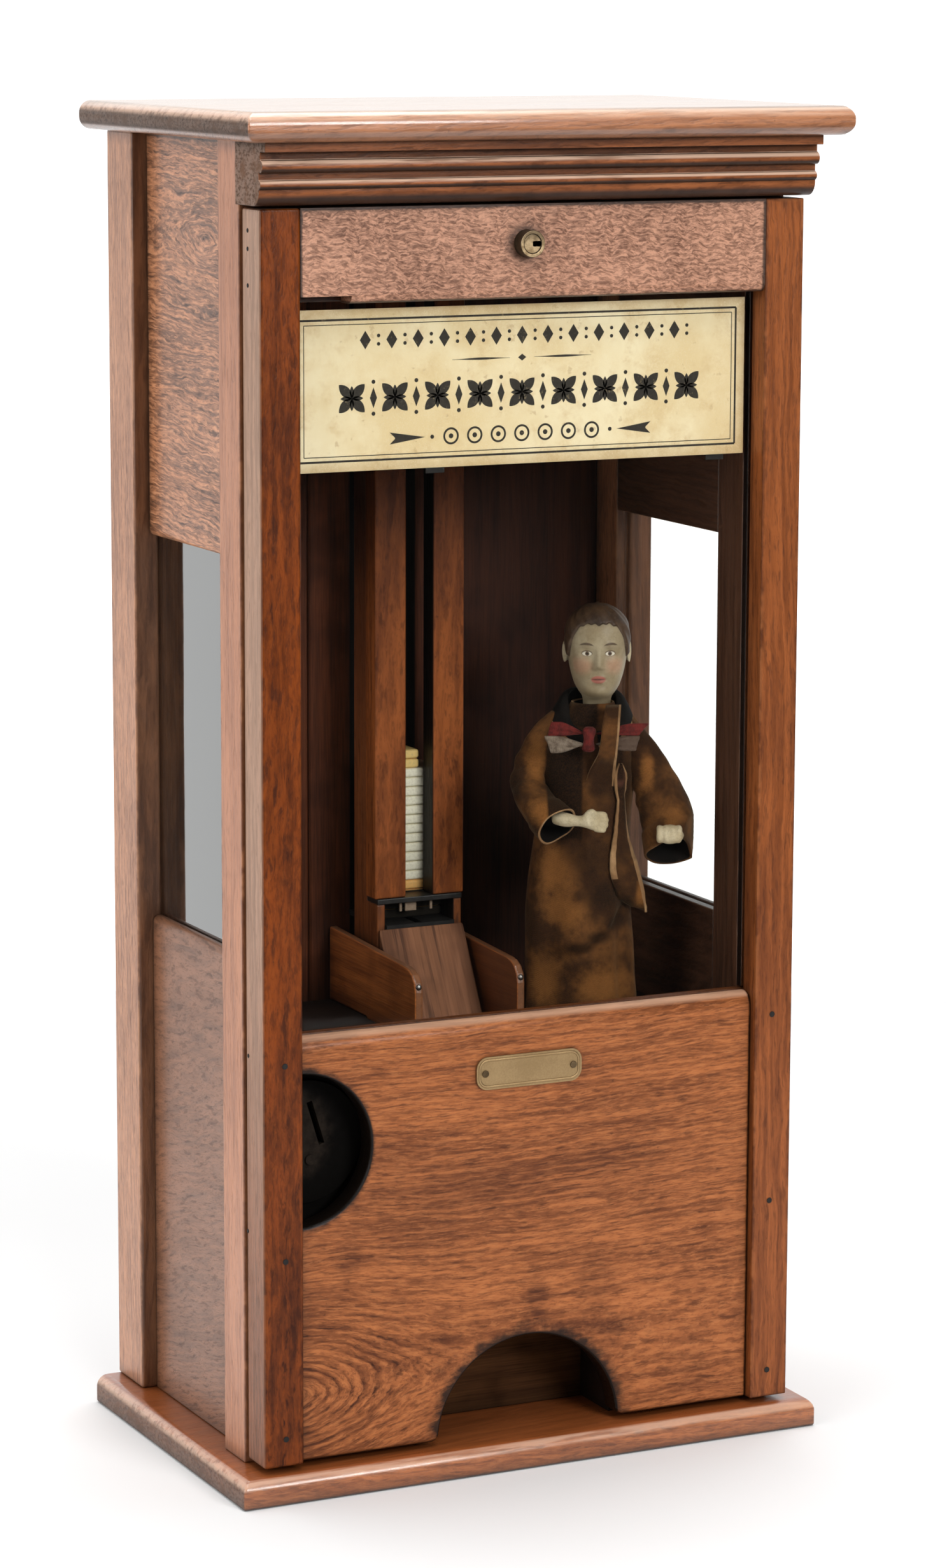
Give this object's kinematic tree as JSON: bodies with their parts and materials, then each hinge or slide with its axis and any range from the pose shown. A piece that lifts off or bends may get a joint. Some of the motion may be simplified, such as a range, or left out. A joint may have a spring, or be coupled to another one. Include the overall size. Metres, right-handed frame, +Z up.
{
  "type": "gum vending machine",
  "caption": "Counter-top oak vending case with moulded crown, side-hung glazed door, coin hole, pick-up arch, gum magazine with ejector and a robed doll turning on a clockwork spindle",
  "frame": {"origin": "middle of the footprint at the underside of the base board", "axes": "+Z up, -Y front with the door, +X right as seen from the front"},
  "size_m": [0.292, 0.194, 0.61],
  "materials": {
    "oak": "aged shellac over quarter and plain sawn oak",
    "dark_wood": "dark stained boards",
    "bare_wood": "bare rubbed board",
    "red_wood": "red-brown stained board",
    "glass": "old window glass",
    "black_iron": "black japanned sheet iron",
    "steel": "dull turned steel",
    "tin": "dark tinplate",
    "brass": "tarnished brass",
    "gum_paper": "paper-wrapped gum tabs",
    "gum_yellow": "paper-wrapped gum tab",
    "aged_paper": "aged printed card",
    "brown_felt": "brown wool felt",
    "red_ribbon": "ribbed ribbon",
    "painted_composition": "painted doll composition, crazed"
  },
  "bodies": {
    "cabinet": {"base_board": "oak", "top_board": "oak", "crown_moulding": "oak", "head_rail": "oak", "front_posts": "oak", "rear_posts": "oak", "upper_side_panels": "oak", "lower_side_panels": "oak", "side_glasses": "glass", "back_boards": "dark_wood", "shelf": "dark_wood", "slope_board": "bare_wood", "slope_cheeks": "red_wood", "cup_back": "bare_wood", "cup_sides": "dark_wood", "magazine_strips": "oak", "magazine_walls": "oak", "magazine_floor": "black_iron", "gate_strap": "black_iron", "gum_stack": "gum_paper", "coin_plate": "black_iron", "coin_escutcheon": "black_iron", "coin_chute": "black_iron", "coin_stud": "steel", "cash_box": "tin", "movement_plates": "brass", "movement_posts": "brass", "ejector_bracket": "black_iron", "ejector_pin": "steel", "hinge_leaves_case": "brass", "hinge_pins": "brass"},
    "door": {"door_stile_left": "oak", "door_stile_right": "oak", "door_top_rail": "oak", "door_panel": "oak", "door_glass": "glass", "glass_stops": "oak", "sign_card": "aged_paper", "sign_clips": "black_iron", "name_plate": "brass", "plate_pins": "brass", "lock_barrel": "brass", "hinge_leaves_door": "brass", "door_nails": "black_iron"},
    "lock": {"lock_plug": "brass", "lock_tongue": "steel"},
    "lever": {"coin_lever": "steel"},
    "ejector": {"ejector_arm": "steel"},
    "vended_tab": {"bottom_gum": "gum_yellow"},
    "doll": {"doll_spindle": "steel", "spindle_pinion": "brass", "doll_turntable": "dark_wood", "doll_robe": "brown_felt", "doll_head": "painted_composition", "doll_hands": "painted_composition", "doll_bow": "red_ribbon"},
    "drum": {"great_wheel": "brass", "spring_drum": "brass", "winding_arbor": "steel"}
  },
  "joints": [
    {"name": "door_hinge", "type": "hinge", "parent": "cabinet", "child": "door", "pos_m": [0.136, -0.0565, 0.3], "axis": [0, 0, 1], "range_deg": [0, 110]},
    {"name": "lock_turn", "type": "hinge", "parent": "door", "child": "lock", "pos_m": [-0.006, -0.06, 0.5518], "axis": [0, 1, 0], "range_deg": [0, 90]},
    {"name": "coin_lever_tip", "type": "hinge", "parent": "cabinet", "child": "lever", "pos_m": [-0.08, -0.014, 0.086], "axis": [1, 0, 0], "range_deg": [0, 12]},
    {"name": "ejector_swing", "type": "hinge", "parent": "cabinet", "child": "ejector", "pos_m": [0, 0.061, 0.15], "axis": [1, 0, 0], "range_deg": [0, 24], "stiffness_Nm_per_rad": 0.02, "springref_deg": -17.19},
    {"name": "tab_slide", "type": "slide", "parent": "cabinet", "child": "vended_tab", "axis": [0, -1, 0], "range_m": [0, 0.0343]},
    {"name": "doll_spin", "type": "hinge", "parent": "cabinet", "child": "doll", "pos_m": [0.061, -0.012, 0.2], "axis": [0, 0, 1], "continuous": true},
    {"name": "drum_spin", "type": "hinge", "parent": "cabinet", "child": "drum", "pos_m": [0.061, 0.027, 0.1], "axis": [0, 0, 1], "continuous": true}
  ],
  "couplings": [
    {"joint": "tab_slide", "follows": "ejector_swing", "m_per_rad": 0.0819},
    {"joint": "drum_spin", "follows": "doll_spin", "ratio": -0.3}
  ]
}
